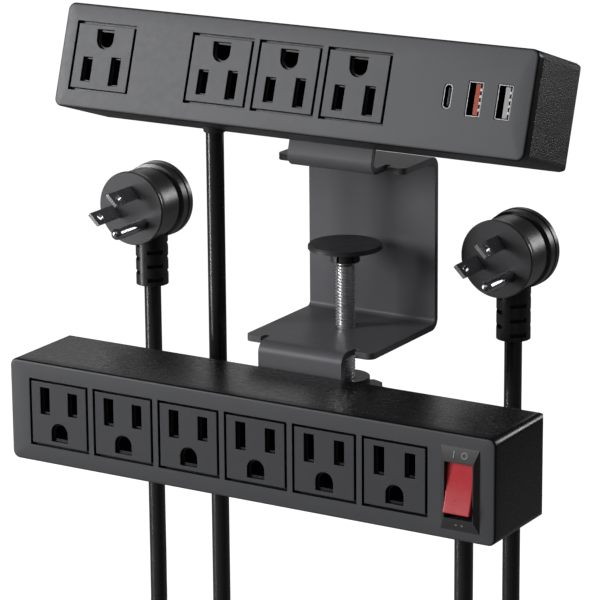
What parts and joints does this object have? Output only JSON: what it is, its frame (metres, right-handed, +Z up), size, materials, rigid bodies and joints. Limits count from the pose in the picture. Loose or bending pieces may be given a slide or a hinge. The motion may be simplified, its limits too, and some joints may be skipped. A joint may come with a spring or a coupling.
{
  "type": "desk power strip",
  "caption": "Clamp-on desk power strip: power bars above and below a bent steel C-bracket with a screw clamp, USB ports, a rocker switch and coiled cords with grounded plugs.",
  "frame": {"origin": "on the desk-seating face, the underside of the bracket's top plate, on the clamp screw's axis", "axes": "+X along the bars, towards the end with the USB ports and the rocker switch; +Y away from the user, into the clamp's throat; +Z up"},
  "size_m": [0.239, 0.132, 0.3945],
  "materials": {
    "bracket_paint": "fine powder coat, satin",
    "zinc_steel": "bright zinc plated",
    "knob_plastic": "moulded, satin",
    "pad_steel": "black, satin",
    "pad_rubber": "matt",
    "upper_cover_paint": "fine satin grey",
    "lower_cover_paint": "fine satin grey",
    "housing_plastic": "fine textured black",
    "outlet_plastic": "satin",
    "port_steel": "bright",
    "orange_plastic": "gloss",
    "white_plastic": "gloss",
    "black_plastic": "gloss",
    "circuit_board": "satin",
    "contact_brass": "bright",
    "screw_steel": "plain",
    "black_screw_steel": "black oxide",
    "relief_rubber": "satin",
    "wire_jacket": "satin",
    "switch_black": "semi gloss",
    "rocker_red": "gloss, translucent look",
    "cord_jacket": "satin",
    "tie_plastic": "satin",
    "plug_plastic": "satin to gloss",
    "prong_steel": "nickel plated"
  },
  "bodies": {
    "frame": {"clamp_bracket": "bracket_paint", "upper_housing": "housing_plastic", "lower_housing": "housing_plastic", "upper_cover": "upper_cover_paint", "lower_cover": "lower_cover_paint", "upper_outlet_1": "outlet_plastic", "upper_outlet_2": "outlet_plastic", "upper_outlet_3": "outlet_plastic", "upper_outlet_4": "outlet_plastic", "lower_outlet_1": "outlet_plastic", "lower_outlet_2": "outlet_plastic", "lower_outlet_3": "outlet_plastic", "lower_outlet_4": "outlet_plastic", "lower_outlet_5": "outlet_plastic", "lower_outlet_6": "outlet_plastic", "usb_c_port": "port_steel", "usb_a_port_1": "port_steel", "usb_a_port_2": "port_steel", "usb_c_tongue": "black_plastic", "usb_a_tongue_1": "orange_plastic", "usb_a_tongue_2": "white_plastic", "usb_charger_board": "circuit_board", "lower_surge_board": "circuit_board", "upper_live_bar": "contact_brass", "upper_neutral_bar": "contact_brass", "upper_ground_bar": "contact_brass", "lower_live_bar": "contact_brass", "lower_neutral_bar": "contact_brass", "lower_ground_bar": "contact_brass", "switch_terminals": "contact_brass", "upper_case_screws": "screw_steel", "lower_case_screws": "screw_steel", "rocker_pin": "screw_steel", "upper_mount_screws": "black_screw_steel", "lower_mount_screws": "black_screw_steel", "upper_strain_relief": "relief_rubber", "lower_strain_relief": "relief_rubber", "left_plug_boot": "relief_rubber", "right_plug_boot": "relief_rubber", "upper_wires": "wire_jacket", "lower_wires": "wire_jacket", "switch_frame": "switch_black", "upper_cord_down": "cord_jacket", "upper_cord_coil": "cord_jacket", "upper_cord_up": "cord_jacket", "lower_cord_down": "cord_jacket", "lower_cord_coil": "cord_jacket", "lower_cord_up": "cord_jacket", "upper_cord_tie": "tie_plastic", "lower_cord_tie": "tie_plastic", "left_plug_body": "plug_plastic", "right_plug_body": "plug_plastic", "left_plug_prongs": "prong_steel", "right_plug_prongs": "prong_steel"},
    "pad": {"clamp_pad": "pad_steel", "pad_facing": "pad_rubber"},
    "screw": {"clamp_screw": "zinc_steel", "clamp_knob": "knob_plastic"},
    "rocker": {"switch_rocker": "rocker_red"}
  },
  "joints": [
    {"name": "pad_travel", "type": "slide", "parent": "frame", "child": "pad", "axis": [0, 0, 1], "range_m": [-0.025, 0.01625]},
    {"name": "screw_turn", "type": "hinge", "parent": "pad", "child": "screw", "pos_m": [0, 0, -0.0833], "axis": [0, 0, 1], "range_deg": [-7200, 4680]},
    {"name": "rocker_tilt", "type": "hinge", "parent": "frame", "child": "rocker", "pos_m": [0.0903, -0.0709, -0.093], "axis": [1, 0, 0], "range_deg": [0, 23]}
  ],
  "couplings": [
    {"joint": "pad_travel", "follows": "screw_turn", "m_per_rad": 0.00019894}
  ]
}
